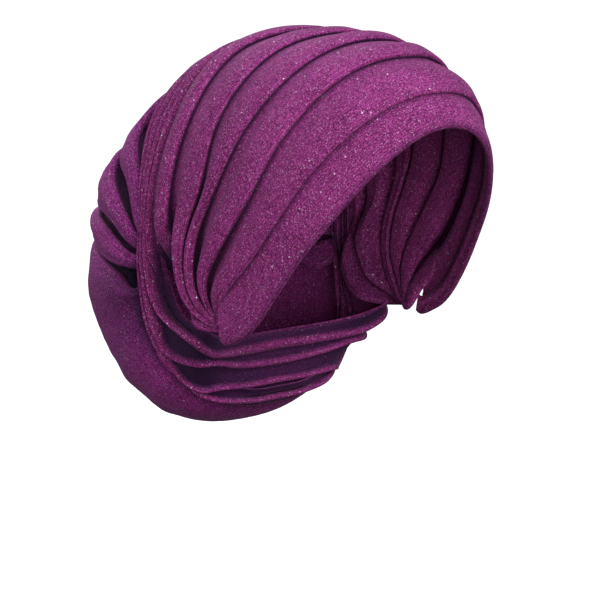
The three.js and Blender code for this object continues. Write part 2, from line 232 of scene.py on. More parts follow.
def make(name, grid, uv, wrap=False, thick=0.7, mat=None, painted_shade=None):
    """A mesh of quads from a grid of points in mm, with the cloth's own coordinates in mm / 1000 as its UV map."""
    r, c = grid.shape[:2]
    verts = (grid.reshape(-1, 3) * MM)
    i, j = np.meshgrid(np.arange(r - 1), np.arange(c if wrap else c - 1), indexing="ij")
    k = (j + 1) % c
    quads = np.stack([i * c + j, i * c + k, (i + 1) * c + k, (i + 1) * c + j], -1).reshape(-1, 4)
    uvr = uv.reshape(-1, 2)
    me = bpy.data.meshes.new(name)
    me.from_pydata([], [], [])
    me.vertices.add(len(verts)); me.vertices.foreach_set("co", verts.ravel())
    me.loops.add(quads.size); me.loops.foreach_set("vertex_index", quads.ravel())
    me.polygons.add(len(quads)); me.polygons.foreach_set("loop_start", np.arange(0, quads.size, 4))
    me.update(calc_edges=True)
    layer = me.uv_layers.new(name="cloth")
    co = uvr[quads.ravel()].copy()
    if wrap:                         # the last column of quads runs on instead of back to the start
        last = (j.reshape(-1) == c - 1)
        q = co.reshape(-1, 4, 2)
        q[last, 1, 1] = q[last, 0, 1] + (uv[0, 1, 1] - uv[0, 0, 1])
        q[last, 2, 1] = q[last, 3, 1] + (uv[0, 1, 1] - uv[0, 0, 1])
        co = q.reshape(-1, 2)
    layer.data.foreach_set("uv", (co * MM).ravel())
    me.polygons.foreach_set("use_smooth", np.ones(len(quads), bool))
    if painted_shade is not None:               # the painted shade, 0 to 1: how dark the cloth is painted in hollows and creases
        me.attributes.new("painted_shade", "FLOAT", "POINT").data.foreach_set("value", np.ascontiguousarray(painted_shade, dtype=np.float32).ravel())
    me.update(); me.validate()
    o = bpy.data.objects.new(name, me)
    scene.collection.objects.link(o)
    if thick:
        s = o.modifiers.new("thickness", "SOLIDIFY")
        s.thickness, s.offset, s.use_even_offset, s.use_rim = thick * MM, -1, False, True
    me.materials.append(mat)
    if thick and painted_shade is not None:     # the painted shade of the hollows goes on the outer face; the inner face gets a weaker painted shade of its own
        n = len(verts)
        me = bpy.data.meshes.new_from_object(o.evaluated_get(bpy.context.evaluated_depsgraph_get()))
        o.modifiers.clear()
        o.data = me
        co = np.empty(len(me.vertices) * 3)
        me.vertices.foreach_get("co", co)
        co = co.reshape(-1, 3)
        first_outer = ((co[n:] - co[:n]) * (co[:n] - co[:n].mean(0))).sum() < 0
        h = np.asarray(painted_shade, float).ravel()
        inner = 0.15 + 0.2 * h
        me.attributes["painted_shade"].data.foreach_set("value", np.concatenate([h, inner] if first_outer else [inner, h]).astype(np.float32))
    return o


def along(n, end, power=0.86):
    t = np.linspace(-1, 1, n)
    return end * np.sign(t) * np.abs(t) ** power


# ------------------------------------------------------------------ materials
def cloth_material(name, light, dark, rib=1.5, paint_shade=True):
    mat = bpy.data.materials.new(name)
    mat.use_nodes = True
    nt = mat.node_tree
    N, L = nt.nodes, nt.links
    N.clear()
    out = N.new("ShaderNodeOutputMaterial")
    bsdf = N.new("ShaderNodeBsdfPrincipled")
    L.new(bsdf.outputs["BSDF"], out.inputs["Surface"])
    uv = N.new("ShaderNodeUVMap"); uv.uv_map = "cloth"
    obj = N.new("ShaderNodeTexCoord")

    def math_(op, a, b=None, c=None):
        n = N.new("ShaderNodeMath"); n.operation = op
        for s, v in zip(n.inputs, (a, b, c)):
            if v is None:
                continue
            if isinstance(v, (int, float)):
                s.default_value = v
            else:
                L.new(v, s)
        return n.outputs[0]

    def mix(fac, a, b, kind="MIX"):
        n = N.new("ShaderNodeMix"); n.data_type = "RGBA"; n.blend_type = kind
        for s, v in ((n.inputs[0], fac), (n.inputs[6], a), (n.inputs[7], b)):
            if isinstance(v, (int, float)):
                s.default_value = v
            elif isinstance(v, tuple):
                s.default_value = (*v, 1)
            else:
                L.new(v, s)
        return n.outputs[2]

    def ramp(v, lo, hi):
        n = N.new("ShaderNodeMapRange"); n.clamp = True
        L.new(v, n.inputs[0]); n.inputs[1].default_value = lo; n.inputs[2].default_value = hi
        return n.outputs[0]

    def noise(vec, scale, detail=2.0, rough=0.5):
        n = N.new("ShaderNodeTexNoise"); L.new(vec, n.inputs["Vector"])
        n.inputs["Scale"].default_value, n.inputs["Detail"].default_value, n.inputs["Roughness"].default_value = scale, detail, rough
        return n.outputs["Fac"]

    def cells(vec, scale, jitter=1.0):
        n = N.new("ShaderNodeTexVoronoi"); L.new(vec, n.inputs["Vector"])
        n.inputs["Scale"].default_value = scale
        n.inputs["Randomness"].default_value = jitter
        return n
    sep = N.new("ShaderNodeSeparateXYZ"); L.new(uv.outputs[0], sep.inputs[0])
    # ribs of the knit run along the folds, with a slight wander and a broken, stitched look along their length
    wander = math_("MULTIPLY", noise(obj.outputs["Object"], 30, 2), 0.0012)
    across = math_("ADD", sep.outputs[0], wander)
    rib_wave = math_("SINE", math_("MULTIPLY", across, 2 * math.pi / (rib * MM)))
    rib01 = math_("MULTIPLY_ADD", rib_wave, 0.5, 0.5)
    st = N.new("ShaderNodeMapping"); L.new(uv.outputs[0], st.inputs[0]); st.inputs["Scale"].default_value = (1, 0.28, 1)
    stitch = noise(st.outputs[0], 1400, 2, 0.6)
    broad = noise(obj.outputs["Object"], 16, 3, 0.55)
    mid = noise(obj.outputs["Object"], 90, 3, 0.6)
    grain = noise(obj.outputs["Object"], 1350, 2, 0.7)
    tone = math_("ADD", math_("MULTIPLY", rib01, 0.30), math_("MULTIPLY", stitch, 0.60))
    tone = math_("ADD", tone, math_("MULTIPLY", math_("SUBTRACT", broad, 0.5), 0.75))
    tone = math_("ADD", tone, math_("MULTIPLY", math_("SUBTRACT", mid, 0.5), 0.35))
    tone = math_("ADD", tone, math_("MULTIPLY", math_("SUBTRACT", grain, 0.5), 1.9))
    flake = N.new("ShaderNodeSeparateColor"); L.new(cells(obj.outputs["Object"], 1550).outputs["Color"], flake.inputs[0])
    tone = math_("ADD", tone, math_("MULTIPLY", math_("SUBTRACT", flake.outputs[0], 0.5), 0.9))
    base = mix(math_("POWER", ramp(tone, -0.15, 1.05), 1.35), tuple(dark), tuple(light))
    # fine glitter woven in: many dull specks, fewer bright ones, and sparse large sparkles; the specks' pale colour is
    # partly the flakes' own colour and partly a painted glint for their sparkle
    def specks(scale, share, size):
        v = cells(obj.outputs["Object"], scale)
        c = N.new("ShaderNodeSeparateColor"); L.new(v.outputs["Color"], c.inputs[0])
        pick = ramp(c.outputs[0], 1 - share - 0.001, 1 - share + 0.001)
        return math_("MULTIPLY", pick, math_("SUBTRACT", 1.0, ramp(v.outputs["Distance"], size * 0.7, size))), c.outputs[1]
    fine, fv = specks(1350, 0.34, 0.46)
    bright, bv = specks(1150, 0.17, 0.42)
    big, gv = specks(640, 0.017, 0.36)
    base = mix(math_("MULTIPLY", fine, math_("MULTIPLY_ADD", fv, 0.5, 0.1)), base, tuple(min(1, x * 2.0 + 0.10) for x in light))
    base = mix(math_("MULTIPLY", bright, math_("MULTIPLY_ADD", bv, 0.6, 0.25)), base, (0.66, 0.42, 0.61))
    base = mix(math_("MULTIPLY", big, math_("MULTIPLY_ADD", gv, 0.5, 0.5)), base, (0.95, 0.78, 0.90))
    # painted shade: the base colour goes towards a deep navy as far as the mesh's shade attribute says, in hollows,
    # creases and the bundle's shade
    if paint_shade:
        att = N.new("ShaderNodeAttribute"); att.attribute_name = "painted_shade"
        base = mix(math_("MULTIPLY", att.outputs["Fac"], 0.93), base, (0.012, 0.004, 0.032))
    L.new(base, bsdf.inputs["Base Color"])
    glit = math_("MAXIMUM", math_("MULTIPLY", fine, 0.35), math_("MAXIMUM", math_("MULTIPLY", bright, 0.8), big))
    L.new(math_("MULTIPLY_ADD", glit, -0.38, 0.78), bsdf.inputs["Roughness"])
    L.new(math_("MULTIPLY", glit, 0.55), bsdf.inputs["Metallic"])
    bsdf.inputs["Sheen Weight"].default_value = 0.08
    bsdf.inputs["Sheen Roughness"].default_value = 0.45
    bsdf.inputs["Sheen Tint"].default_value = (0.80, 0.52, 0.85, 1)
    bsdf.inputs["Specular IOR Level"].default_value = 0.15
    # the ribs, the stitches and the specks stand a little proud
    h = math_("ADD", math_("MULTIPLY", rib01, 0.35), math_("MULTIPLY", stitch, 0.45))
    h = math_("ADD", h, math_("MULTIPLY", grain, 0.35))
    h = math_("ADD", h, math_("MULTIPLY", glit, 0.3))
    bump = N.new("ShaderNodeBump")
    bump.inputs["Strength"].default_value = 0.7
    bump.inputs["Distance"].default_value = 0.0005
    L.new(h, bump.inputs["Height"])
    L.new(bump.outputs[0], bsdf.inputs["Normal"])
    return mat


LIGHT, DARK = (0.375, 0.050, 0.270), (0.072, 0.0035, 0.050)
mat_band = cloth_material("glitter_knit_band", LIGHT, DARK)
mat_crown = cloth_material("glitter_knit_crown", LIGHT, DARK)
mat_bundle = cloth_material("glitter_knit_bundle", tuple(0.88 * x for x in LIGHT), DARK, rib=1.2)
# the bag's copy of the knit is lighter and bluer: painted cool light on the bag
mat_bag_cool_lit = cloth_material("glitter_knit_bag_cool_lit_copy", (0.395, 0.047, 0.310), (0.072, 0.0040, 0.062))

# ------------------------------------------------------------------ front band
NB = 341
s = np.linspace(-1, 1, NB)
at = np.linspace(0, 1, len(BAND))
col = lambda k, f: f(at, [r[k] for r in BAND])
side = np.where(s < 0, -1.0, 1.0)
hem = cap_dir(col(2, even)(np.abs(s)), side * col(1, through)(np.abs(s)))
top = cap_dir(col(4, even)(np.abs(s)), side * col(3, through)(np.abs(s)))
width = np.linalg.norm(on_cap(top) - on_cap(hem), axis=-1)
tuck = 6.0 + 8.0 * step(0.84, 1, np.abs(s))
# across the band, in mm from the hem: under the hem, round its edge, over the face and under the first pleat
rows_t, rows_n, rows_u = [], [], []
for t, n in [(11, -1.5), (7, -1.6), (3, -1.6), (1.0, -1.5), (0.2, -1.2), (-0.15, -0.6), (0.1, 0.1), (0.6, 0.5), (1.3, 0.75)]:
    rows_t.append(np.full(NB, float(t))); rows_n.append(np.full(NB, n)); rows_u.append(-6.0 + t * 0.2 if n < -1 else t)
face = np.linspace(0.03, 0.965, 44)
for w in face:
    t = 1.6 + (width - 1.6) * w
    n = 0.95 + 0.55 * np.sin(np.pi * w) - 0.28 * np.exp(-(((t - 10.5) / 1.0) ** 2)) + 0.25 * np.exp(-(((t - 8.6) / 1.6) ** 2))
    n = n + waves(s * 190, t, [(70, 26, 0.35), (34, 14, 0.16)], 3)
    rows_t.append(t); rows_n.append(n); rows_u.append(t)
for x, n in [(0.25, 0.5), (0.6, 0.25), (1.0, 0.1)]:
    t = width + tuck * x
    rows_t.append(t); rows_n.append(np.full(NB, n)); rows_u.append(t)
T_, Nn = np.array(rows_t), np.array(rows_n)
w = T_ / width
base_w = np.clip(np.linspace(-0.1, 1.15, 40), -0.1, 1.15)
B = unit((1 - w)[..., None] * hem + w[..., None] * top)
P0 = on_cap(B)
ref = on_cap(unit((1 - base_w)[:, None, None] * hem + base_w[:, None, None] * top))
nref = smooth_rows(grid_normals(ref), 3)
if (nref[20, NB // 2] * (0, -1, 0.6)).sum() < 0:
    nref = -nref
fi = np.clip((w + 0.1) / 1.25 * 39, 0, 38.999)
i0 = fi.astype(int); fr = (fi - i0)[..., None]
jj = np.broadcast_to(np.arange(NB), i0.shape)
nb = unit(nref[i0, jj] * (1 - fr) + nref[i0 + 1, jj] * fr)
P = P0 + nb * Nn[..., None]
U = np.array([np.broadcast_to(u, NB) for u in rows_u], float)
V = np.broadcast_to(s * 200, U.shape)
# painted shade: darker under the first pleat's lip and in a band along the rolled hem
band = make("front_band_cloth", P, np.stack([U, V], -1), mat=mat_band, thick=0.6,
            painted_shade=np.maximum(step(-5.5, 0.3, T_ - width) * (0.42 + 0.50 * step(-0.6, 0.6, T_ - width)), 0.34 * step(4.5, 0.6, T_)))

# ------------------------------------------------------------------ pleated crown
NC, END = 241, 89.2
th = along(NC, END)
a_th = np.abs(th)
R_TH = 82 / np.maximum(0.35, 1)
PH = np.array([f(th) for f in cap_phi])
fold_pts = on_cap(cap_dir(PH, th), cap_pinch(th))
W_ = np.linalg.norm(fold_pts[1:] - fold_pts[:-1], axis=-1)          # width of each pleat at each station
pleats = len(CAP_FOLDS) - 1
CREASES = [(0.62,), (0.34, 0.70), (0.48,), (0.40,), ()]
phis, ns, us, crease_shade = [], [], [], []
flat = 0.0
for k in range(pleats):
    wd = W_[k]
    q = np.clip(wd / 15, 0.10, 1)                                     # narrow pleats are lower and tuck less
    lip = (3.9 + 0.6 * step(10, 35, a_th)) * q ** 0.55
    valley = (0.6 + 4.6 * step(38, 64, a_th) * (0.5, 0.8, 1.15, 1.1, 1.25)[k]) * q ** 0.5
    ease = (0, 0, 1, 1, 1)[k] * 2.4 * step(32, 52, a_th) * (1 - step(70, 84, a_th))
    sink = (0, 0, 0, 0.75, 1)[k] * 13.0 * step(46, 55, a_th) * (1 - step(65, 78, a_th))
    prof = []
    if k == 0:                                                       # sewn to the back of the band at the gather
        for t, n in ((-11, -1.6), (-6, -1.5), (0, -1.2)):
            prof.append((t * step(62, 76, a_th) / wd, np.full(NC, n), t))
    for t, n in [(6.5, 0.1), (5.0, 0.35), (3.0, 0.32), (1.5, 0.25), (0.6, 0.27), (0.1, 0.38), (-0.3, 0.58), (-0.42, 0.76), (-0.25, 0.9), (0.15, 0.98), (0.8, 1.03), (1.8, 1.05)]:
        prof.append((t * q / wd, (lip * n if n > 0.2 else np.full(NC, 0.0) + 0.2 * q) - (sink if k == 4 else 0), t))
    for w in np.linspace(0.1, 0.985, 24):
        x = (w - 0.1) / 0.885
        top_n = lip * (1.06 - 0.80 * step(0.05, 1.0, x)) + 0.9 * np.sin(np.pi * x) * q
        top_n = top_n - valley * step(0.35, 0.93, x) + 0.8 * valley * np.sin(np.pi * np.clip(x * 1.9, 0, 1)) * 0.25
        top_n = top_n - ease * np.exp(-(((x - 0.80) / 0.16) ** 2))
        t = w * wd
        top_n = top_n - (sink if k == 4 else sink * step(0.72, 1.0, x))
        for c_ in CREASES[k]:                                        # finer creases that run into the gather
            top_n = top_n - 1.5 * q**0.5 * np.exp(-(((x - c_) / 0.07) ** 2)) * step(52, 66, a_th)
        top_n = top_n + waves(t, th * 1.9, [(26, 120, 0.5), (11, 60, 0.28)], 20 + k) * q * np.sin(np.pi * x) ** 0.5
        prof.append((w, top_n, t))
    for x in (0.3, 0.7, 1.0):
        last = lip * 0.12 - 0.25 * q - valley - sink * (1 if k == 4 else 1 + 0.15 * x)
        prof.append((1 + 6.8 * q * x / wd * (0.35 if k == pleats - 1 else 1), last + 0 * wd, wd + 6.8 * x))
    for f, n, u in prof:
        f = np.broadcast_to(f, NC)
        ahead, under = (1 - f) * wd, f * wd                           # mm to the next lip, and mm behind this one's edge
        # painted shade along the creases: darker just ahead of the next pleat's lip and under this pleat's lip, less on
        # the top than on the sides
        crease_shade.append(np.maximum((0.50 + 0.30 * step(20, 50, a_th)) * (0.55 * step(6.5 * q, 0.6, ahead) + 0.45 * step(2.2 * q, 0.2, ahead)), np.where(n < 0.6 * lip, 0.9 * step(3.0, 0.2, np.abs(under)), 0)))
        phis.append(PH[k] + (PH[k + 1] - PH[k]) * f); ns.append(np.broadcast_to(n, NC)); us.append(np.broadcast_to(u, NC) + flat)
    flat += 46.0
PHI, NN, UU = np.array(phis), np.array(ns), np.array(us, float)
P0 = on_cap(cap_dir(PHI, th), np.broadcast_to(cap_pinch(th), PHI.shape))
ref_phi = np.linspace(0, 1, 60)[:, None] * (PH[-1] + 14 - (PH[0] - 14)) + PH[0] - 14
ref = on_cap(cap_dir(ref_phi, th), np.broadcast_to(cap_pinch(th) * 0.4, ref_phi.shape))
nref = smooth_rows(grid_normals(ref), 4)
if nref[30, NC // 2, 2] < 0:
    nref = -nref
fi = np.clip((PHI - (PH[0] - 14)) / (PH[-1] - PH[0] + 28) * 59, 0, 58.999)
i0 = fi.astype(int); fr = (fi - i0)[..., None]
jj = np.broadcast_to(np.arange(NC), i0.shape)
nc = unit(nref[i0, jj] * (1 - fr) + nref[i0 + 1, jj] * fr)
P = P0 + nc * NN[..., None]
# painted shade where the cloth lies deep below the surface and along the creases
crown = make("pleated_crown_cloth", P, np.stack([UU, np.broadcast_to(th * 2.0, UU.shape)], -1), mat=mat_crown, thick=0.5,
             painted_shade=np.maximum(step(-0.6, -6.5, NN), np.array(crease_shade)))

# ------------------------------------------------------------------ bundle of gathered strands
fold = len(CAP_FOLDS) - 1
upper_pts, lower_pts = [], []
for name, a, b in BUNDLE:
    if isinstance(a, tuple):
        upper_pts.append(np.array(a, float))
    else:
        d = cap_dir(cap_phi[fold](a) + shift(0.2, a, 80), a)
        upper_pts.append(on_cap(d[None], cap_pinch(a) * 0.6)[0])
    if isinstance(b[0], str):
        if b[0] == "front":
            ph = bag_phi[0](b[1]) - shift(0.6, b[1], 85)
        else:
            ph = bag_phi[-1](b[1]) - b[2]
        q = on_bag(np.array([ph]), np.array([float(b[1])]))[0]
        lower_pts.append(q + 2.6 * (b[0] == "nape") * unit(q - BAG_AXIS))
    else:
        lower_pts.append(np.array(b, float))


def half_line(pts):
    pts = np.array(pts)
    m_ = pts * (-1, 1, 1)
    allp = np.vstack([m_[1], pts, m_[-2]])
    fs = [through(np.arange(-1, len(pts) + 1), allp[:, k]) for k in range(3)]
    return lambda t: np.stack([f(t * (len(pts) - 1)) for f in fs], -1)


upper, lower = half_line(upper_pts), half_line(lower_pts)
# strands: at a station, centre and half width as shares of the bundle's width, and height as a share; the rope of
# three or four at the side of the crown parts towards the nape into thin ridges with deep hollows between them
STRANDS = [
    ("rope_upper", [(0, 0.11, 0.122, 1), (0.2, 0.11, 0.12, 1), (0.32, 0.12, 0.11, 1), (0.39, 0.15, 0.095, 0.8),
                    (0.43, 0.18, 0.06, 0.3), (0.47, 0.20, 0.05, 0), (1, 0.2, 0.05, 0)]),
    ("nape_first", [(0, 0.36, 0.125, 0.9), (0.2, 0.36, 0.125, 0.95), (0.32, 0.37, 0.12, 1), (0.40, 0.39, 0.115, 1),
                    (0.45, 0.40, 0.11, 1), (0.483, 0.36, 0.105, 0.95), (0.533, 0.22, 0.10, 0.9), (0.604, 0.14, 0.075, 0.95),
                    (0.70, 0.19, 0.055, 0.95), (0.762, 0.20, 0.05, 0.9), (0.88, 0.13, 0.06, 0.9), (1, 0.12, 0.07, 0.9)]),
    ("nape_second", [(0, 0.62, 0.125, 0.95), (0.2, 0.62, 0.125, 0.95), (0.32, 0.63, 0.12, 1), (0.40, 0.65, 0.115, 1),
                     (0.48, 0.68, 0.105, 1), (0.54, 0.74, 0.09, 1), (0.585, 0.80, 0.065, 0.95), (0.613, 0.80, 0.050, 0.95),
                     (0.658, 0.63, 0.036, 0.95), (0.713, 0.46, 0.030, 0.95), (0.792, 0.31, 0.034, 0.9), (0.9, 0.34, 0.045, 0.9),
                     (1, 0.36, 0.05, 0.9)]),
    ("rope_lower", [(0, 0.88, 0.118, 0.85), (0.2, 0.88, 0.118, 0.9), (0.32, 0.88, 0.11, 0.95), (0.40, 0.89, 0.10, 0.95),
                    (0.48, 0.91, 0.085, 0.95), (0.54, 0.93, 0.075, 0.95), (0.60, 0.94, 0.06, 0.95), (0.66, 0.94, 0.045, 0.9), (0.70, 0.94, 0.04, 0), (1, 0.95, 0.05, 0)]),
    ("nape_third", [(0, 0.95, 0.05, 0), (0.56, 0.95, 0.05, 0), (0.60, 0.93, 0.05, 0.9), (0.66, 0.90, 0.040, 0.9),
                    (0.72, 0.94, 0.034, 0.9), (0.765, 0.91, 0.032, 0.9), (0.825, 0.72, 0.035, 0.9), (0.9, 0.65, 0.04, 0.9), (1, 0.64, 0.05, 0.9)]),
    ("nape_fourth", [(0, 1.0, 0.05, 0), (0.70, 1.0, 0.03, 0), (0.75, 0.99, 0.03, 0.8), (0.812, 0.97, 0.035, 0.9),
                     (0.9, 0.93, 0.045, 0.9), (1, 0.92, 0.05, 0.9)]),
]
NU = 400
u = np.arange(NU) / NU
t = np.where(u <= 0.5, u * 2, 2 - u * 2)
sgn = np.where(u <= 0.5, 1.0, -1.0)
uu, ll = upper(t), lower(t)
wide = np.linalg.norm(uu - ll, axis=-1)
wv = np.concatenate([np.linspace(-0.05, 1.05, 111)])
base = uu * (1 - wv)[:, None, None] + ll * wv[:, None, None]
bulge = 4 * np.clip(wv, 0, 1)[:, None] * (1 - np.clip(wv, 0, 1))[:, None] * wide**2 / (8 * 120)
out_ = unit(base - (0, 55, 10))
base = base + out_ * bulge[..., None]
base[..., 0] *= sgn
nrm = smooth_rows(grid_normals(base, True), 3, True)
if (nrm[55, 0] * (0, 0.3, 1)).sum() < 0:
    nrm = -nrm
DEPTH = [(0, 4.4, 2.2), (0.25, 5.4, 2.4), (0.38, 6.2, 3.0), (0.45, 7.5, 3.4), (0.52, 7.0, 3.0), (0.60, 4.0, 2.4), (0.70, 3.0, 2.0),
         (0.85, 3.0, 1.9), (1, 3.2, 2.0)]
deep = through([r[0] for r in DEPTH], [r[1] for r in DEPTH])(t)
high = through([r[0] for r in DEPTH], [r[2] for r in DEPTH])(t)
ridge = np.zeros((len(wv), NU))
for k, (name, rows) in enumerate(STRANDS):
    at = [r[0] for r in rows]
    c, h, g = (through(at, [r[i] for r in rows])(t) for i in (1, 2, 3))
    wob = 0.008 * np.sin(2 * np.pi * (t * 3.1 + 0.21 * k) + k) * step(0.02, 0.15, t) * (1 - step(0.9, 1, t))
    x = (wv[:, None] - (c + wob)) / np.maximum(h, 0.02)
    lean = x + 0.2 * (1 - np.minimum(x**2, 1))                     # each strand leans a little to the rear
    ridge = np.maximum(ridge, np.clip(1 - lean**2, 0, 1) ** 0.5 * np.clip(g, 0, 1))
lift = -deep + (deep + high) * ridge + 0.6
lift = lift + waves(wv[:, None] * wide, t * 330, [(9, 60, 0.25), (5, 30, 0.12)], 51) * ridge
edge = step(0, 0.045, wv + 0.05)[:, None] * step(0, 0.045, 1.05 - wv)[:, None]
lift = np.where((wv < 0)[:, None] | (wv > 1)[:, None], np.minimum(lift, 0.0) - 2.2 * (1 - edge), lift)
P = base + nrm * lift[..., None]
# painted shade in the gaps between the strands, off their ridges
dark = step(0.82, 0.25, ridge) * (0.72 + 0.28 * step(0.34, 0.5, t) - 0.12 * step(0.74, 0.92, t)) * edge
acr = np.cumsum(np.concatenate([np.zeros((1, NU)), np.linalg.norm(np.diff(P, axis=0), axis=-1)]), 0)
UVb = np.stack([acr, np.broadcast_to(u * 620, acr.shape)], -1)
bundle = make("gathered_bundle_cloth", P, UVb, wrap=True, mat=mat_bundle, thick=0.6, painted_shade=dark)

# ------------------------------------------------------------------ slouch bag
ND = 205
th = along(ND, 89.3, 0.78)
a_th = np.abs(th)
calm = 1 - 0.6 * step(70, 89, a_th)
# the hollows between the folds: the edge of the fold in front and the lip of the fold behind, phi in degrees at each theta
HT = [0, 20, 34, 45, 55, 62, 68, 74, 80, 90]
HOLLOWS = [
    ("behind_bundle", [9, 9, 9.5, 9, 8.5, 8, 8, 8, 8, 8], [11, 17, 26, 22, 15, 11.5, 11, 10.5, 10.5, 10.5], 3, 12),
    ("upper", [47, 45.5, 41.8, 38.5, 30.3, 27, 27, 30, 33, 34], [51, 50, 47.5, 47.5, 45, 42, 39.5, 37.5, 38.5, 39], 5, 22),
    ("middle", [73, 73, 72, 70, 66, 63.5, 62.5, 65, 68, 66], [75.5, 76, 75.5, 75, 74, 75, 77, 82, 90, 88], 2.5, 15),
    ("lower", [87, 85.5, 84, 88, 94.5, 99, 103, 109, 121, 125], [91, 90, 91, 94.5, 100.5, 107, 118, 154, 170, 171], 5, 19),
]
near = step(26, 46, a_th) * (1 - step(78, 89, a_th))
# cloth doesn't fold alike on both sides: the lines wander at the middle of the back and on the wearer's left
astray = (1 - step(12, 30, th)) * (1 - step(70, 84, a_th))
wander = [k_ * astray * (2.3 * np.sin(th / 21.0 + 1.1 * n_) + 1.2 * np.sin(th / 9.5 + 2.3 * n_)) for n_, k_ in enumerate((0.5, 1, 0.9, 1))]
edges_up = [even(HT, h[1])(th) + w_ for h, w_ in zip(HOLLOWS, [0 * th] + wander[1:])] + [bag_phi[-1](th)]
edges_lo = [even(HT, h[2])(th) + w_ * 0.9 for h, w_ in zip(HOLLOWS, wander)]
depths = [((h[3] + (h[4] - h[3]) * near) * calm * (1 - step(79, 87, a_th)) + 0.8) for h in HOLLOWS]
depths[0] = 3.0 + 13.0 * step(17, 28, a_th) * (1 - step(54, 66, a_th))
PUFF = [(2.0, 3.0), (4.2, 6.5), (3.6, 6.5), (4.4, 7.0)]
PB = np.array([edges_up[0], edges_up[-1]])


def mm_between(p0, p1):
    return np.maximum(np.linalg.norm(on_bag(p1, th) - on_bag(p0, th), axis=-1), 0.5)


phis, ns, us, lip_shade = [], [], [], []
flat = 0.0
full = lambda v: np.broadcast_to(np.asarray(v, float), ND)
for k in range(4):
    p0, p1, d0 = edges_lo[k], edges_up[k + 1], depths[k]
    wd = mm_between(p0, p1)
    gap = mm_between(edges_up[k], p0)
    q = np.clip(wd / 16, 0.2, 1)
    puff = (PUFF[k][0] + (PUFF[k][1] - PUFF[k][0]) * near) * calm * q**0.5
    r = 2.6 * q
    crest = puff * (0.80, 0.80, 0.80, 0.55)[k]
    # each row: phi, offset from the surface, mm along the cloth, and a painted shade, 0 to 1, under the lips and round
    # the rolled edges
    rows = []
    if k == 0:                                                       # it starts under the bundle
        for f, n in ((-4, -2.2), (-2, -2.4), (0, -3.2), (0.5, -0.5 * d0 - 1.6)):
            rows.append((edges_up[0] + f, n, f * 1.5 - gap, 1.0))
    # the floor of the hollow in front, then under the lip and round it
    for x in (0.0, 0.3, 0.6, 0.9):
        rows.append((edges_up[k] + (p0 - edges_up[k]) * x, -d0 * (0.9 + 0.1 * np.sin(np.pi * x)), gap * x - gap, 1.0))
    per = (p1 - p0) / wd
    for x in (0.0, 0.25, 0.5, 0.75):
        rows.append((p0 + per * (2.6 * q * np.sin(np.pi * (0.55 + 0.45 * x)) * 1.0), -d0 + (crest - 2 * r + d0) * (0.15 + 0.85 * x), d0 * x, 1.0 - 0.2 * x))
    for ang in np.linspace(-80, 80, 9):
        a = math.radians(ang)
        rows.append((p0 + per * (r * 0.95 - r * math.cos(a) * 0.95), crest - r + r * math.sin(a), 2 + ang * 0.03, float(step(-5, -75, ang)) * 0.8))
    n_mid = 56 if k == 3 else 18
    e_len = np.minimum(4.5 * q, 0.3 * wd)
    s_end = r * 1.1
    for x in np.linspace(0, 1, n_mid + 1)[1:]:
        tt = s_end + (wd - e_len - s_end) * x
        arch = np.sin(np.pi * x ** (0.8 if k == 3 else 1.0)) ** (0.6 if k == 3 else 0.85)
        e_n = crest * (0.9 if k < 3 else 0.0)
        n = crest + (e_n - crest) * step(0, 1, x) + (puff - 0.5 * (crest + e_n)) * arch * (1.1 if k < 3 else 0.8)
        if k < 3:
            n = n + 1.3 * calm * arch * (1 - near) * np.sin(th / 11.0 + 2.1 * k + 0.12 * tt)
        if k == 3:                                                   # it dips in under the bundle's nape edge
            n = n + (1 - step(14, 36, th)) * (1 - step(60, 80, a_th)) * 2.2 * arch * (
                np.sin(tt / 6.6 + 0.9 * np.sin(th / 19.0)) * step(14, 30, tt) * (1 - step(52, 84, tt)) + 0.8 * np.sin(tt / 13.0 + th / 24.0))
            n = n - 3.6 * step(0, 1, (tt - (wd - 24)) / 13)
        n = n + waves(tt, th * 2.2, [(46, 150, 1.5), (22, 70, 0.7), (10, 38, 0.22)] if k == 3 else [(24, 110, 0.8), (10, 50, 0.3)], 70 + k) * np.clip(arch, 0, 1) * calm
        rows.append((p0 + per * tt, n, 8 + tt, 0.0))
    if k < 3:
        # the rear edge of the fold rolls over and back under itself, above the next hollow
        rr = np.minimum(e_len, 3.2 * q)
        for ang in np.linspace(10, 190, 9):
            a = math.radians(ang)
            rows.append((p0 + per * (wd - rr + rr * math.sin(a)), crest * 0.9 - rr + rr * math.cos(a), 8 + wd + ang * 0.04, float(step(95, 165, ang))))
        for x in (0.3, 0.6, 0.85):
            rows.append((p0 + per * (wd - rr * (1 + 0.5 * x)), (crest * 0.9 - 2 * rr) * (1 - x) - depths[k + 1] * 0.9 * x, 18 + wd + x * 5, 1.0))
    else:
        for x in (0.3, 0.6, 1.0, 1.4):
            rows.append((p0 + per * (wd - e_len + e_len * x), -3.6 - 1.2 * x, 8 + wd + x * 4, 0.6))
    for f, n, u_, h_ in rows:
        phis.append(full(f)); ns.append(full(n)); us.append(full(u_) + flat); lip_shade.append(full(h_))
    flat += 70.0
PHI, NN, UU = np.array(phis), np.array(ns), np.array(us, float)
TH = np.broadcast_to(th, PHI.shape)
